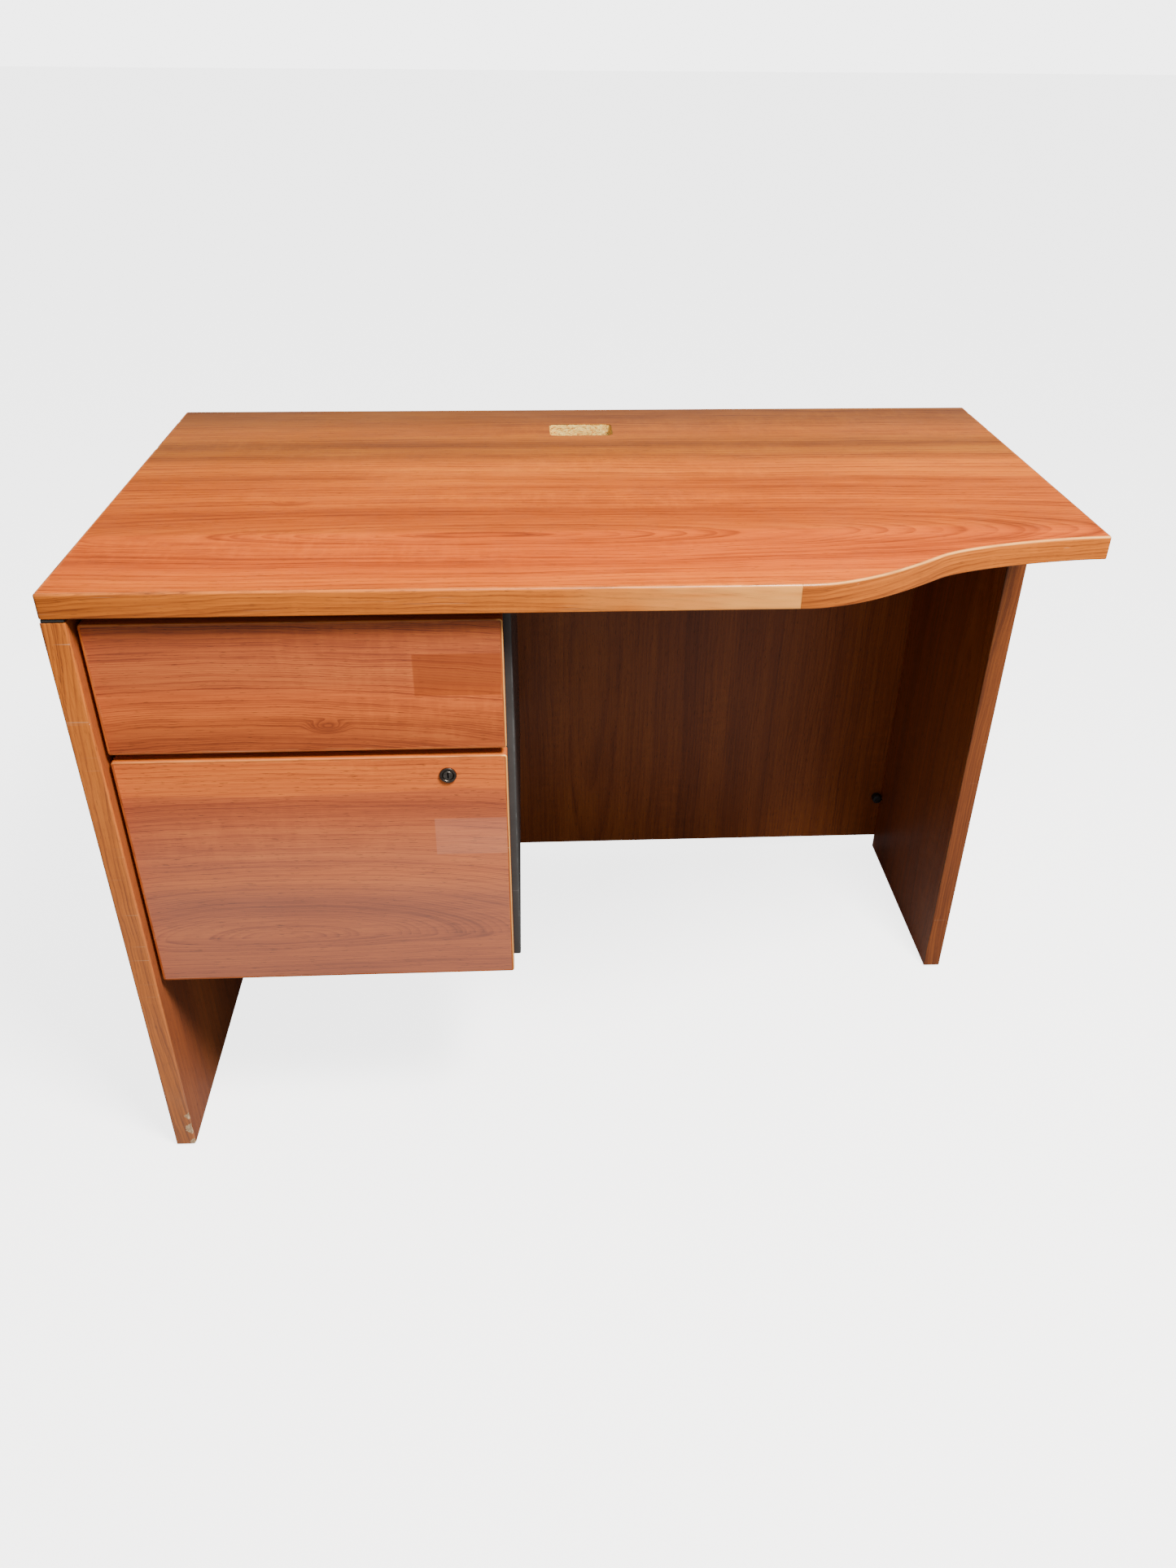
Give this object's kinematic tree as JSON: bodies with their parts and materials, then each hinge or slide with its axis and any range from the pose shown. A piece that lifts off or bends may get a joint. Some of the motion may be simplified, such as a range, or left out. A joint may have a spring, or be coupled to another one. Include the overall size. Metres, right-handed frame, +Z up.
{
  "type": "teacher desk",
  "caption": "Laminate desk with an S-shaped front edge, end panels of two depths, back panel, cable cut-out and a hung steel pedestal with box and locking file drawers.",
  "frame": {"origin": "on the floor, below the middle of the worktop's width and depth", "axes": "+X to the right along the worktop's width, +Y from the user to the back panel, +Z up; the front and its drawers face -Y"},
  "size_m": [1.067, 0.61, 0.749],
  "materials": {
    "top_laminate": "satin cherry woodgrain laminate on particleboard",
    "edge_band": "golden woodgrain plastic edge band, worn pale along the front lip",
    "panel_laminate": "satin cherry woodgrain laminate, grain upright",
    "front_laminate": "satin reddish cherry laminate, grain level",
    "modesty_laminate": "satin cherry laminate, grain upright",
    "black_plastic": "matt black plastic",
    "case_enamel": "satin charcoal enamel on folded sheet steel",
    "drawer_enamel": "charcoal enamel on folded sheet steel",
    "zinc_steel": "zinc plated steel",
    "lock_metal": "dark tarnished nickel on a die-cast lock"
  },
  "bodies": {
    "desk": {"worktop": "top_laminate", "front_band_left": "edge_band", "front_band_right": "edge_band", "left_side_band": "edge_band", "right_side_band": "edge_band", "rear_band": "edge_band", "left_panel_band": "edge_band", "right_panel_band": "edge_band", "left_panel": "panel_laminate", "right_panel": "panel_laminate", "left_spacer_strip": "black_plastic", "right_spacer_strip": "black_plastic", "left_glide_front": "zinc_steel", "left_glide_rear": "zinc_steel", "right_glide_front": "zinc_steel", "right_glide_rear": "zinc_steel", "modesty_panel": "modesty_laminate", "left_fitting_lower": "black_plastic", "left_fitting_upper": "black_plastic", "right_fitting_lower": "black_plastic", "right_fitting_upper": "black_plastic", "top_bracket_front": "zinc_steel", "top_bracket_rear": "zinc_steel", "case_left_side": "case_enamel", "case_right_side": "case_enamel", "case_back": "case_enamel", "case_top_rail_front": "case_enamel", "case_top_rail_rear": "case_enamel", "case_bottom_rail_front": "case_enamel", "case_bottom_rail_rear": "case_enamel", "case_lock_rail": "case_enamel", "upper_slide_left_case_member": "zinc_steel", "upper_slide_right_case_member": "zinc_steel", "lower_slide_left_case_member": "zinc_steel", "lower_slide_right_case_member": "zinc_steel"},
    "lower_slide_middles": {"lower_slide_left_middle_member": "zinc_steel", "lower_slide_right_middle_member": "zinc_steel"},
    "upper_drawer": {"upper_drawer_front": "front_laminate", "upper_drawer_left_side": "drawer_enamel", "upper_drawer_right_side": "drawer_enamel", "upper_drawer_bottom": "drawer_enamel", "upper_drawer_back": "drawer_enamel", "upper_slide_left_drawer_member": "zinc_steel", "upper_slide_right_drawer_member": "zinc_steel"},
    "lower_drawer": {"lower_drawer_front": "front_laminate", "lower_drawer_left_side": "drawer_enamel", "lower_drawer_right_side": "drawer_enamel", "lower_drawer_bottom": "drawer_enamel", "lower_drawer_back": "drawer_enamel", "lower_slide_left_drawer_member": "zinc_steel", "lower_slide_right_drawer_member": "zinc_steel", "file_rail_left": "zinc_steel", "file_rail_right": "zinc_steel", "lock_housing": "lock_metal", "lock_nut": "zinc_steel"},
    "lock_plug": {"lock_plug": "lock_metal", "lock_cam": "zinc_steel"}
  },
  "joints": [
    {"name": "upper_drawer_slide", "type": "slide", "parent": "desk", "child": "upper_drawer", "axis": [0, -1, 0], "range_m": [0, 0.34]},
    {"name": "lower_drawer_slide", "type": "slide", "parent": "desk", "child": "lower_drawer", "axis": [0, -1, 0], "range_m": [0, 0.45]},
    {"name": "lower_middle_slide", "type": "slide", "parent": "desk", "child": "lower_slide_middles", "axis": [0, -1, 0], "range_m": [0, 0.225]},
    {"name": "lock_turn", "type": "hinge", "parent": "lower_drawer", "child": "lock_plug", "pos_m": [-0.164, -0.291, 0.5355], "axis": [0, -1, 0], "range_deg": [-90, 0]}
  ],
  "couplings": [
    {"joint": "lower_middle_slide", "follows": "lower_drawer_slide", "ratio": 0.5}
  ]
}
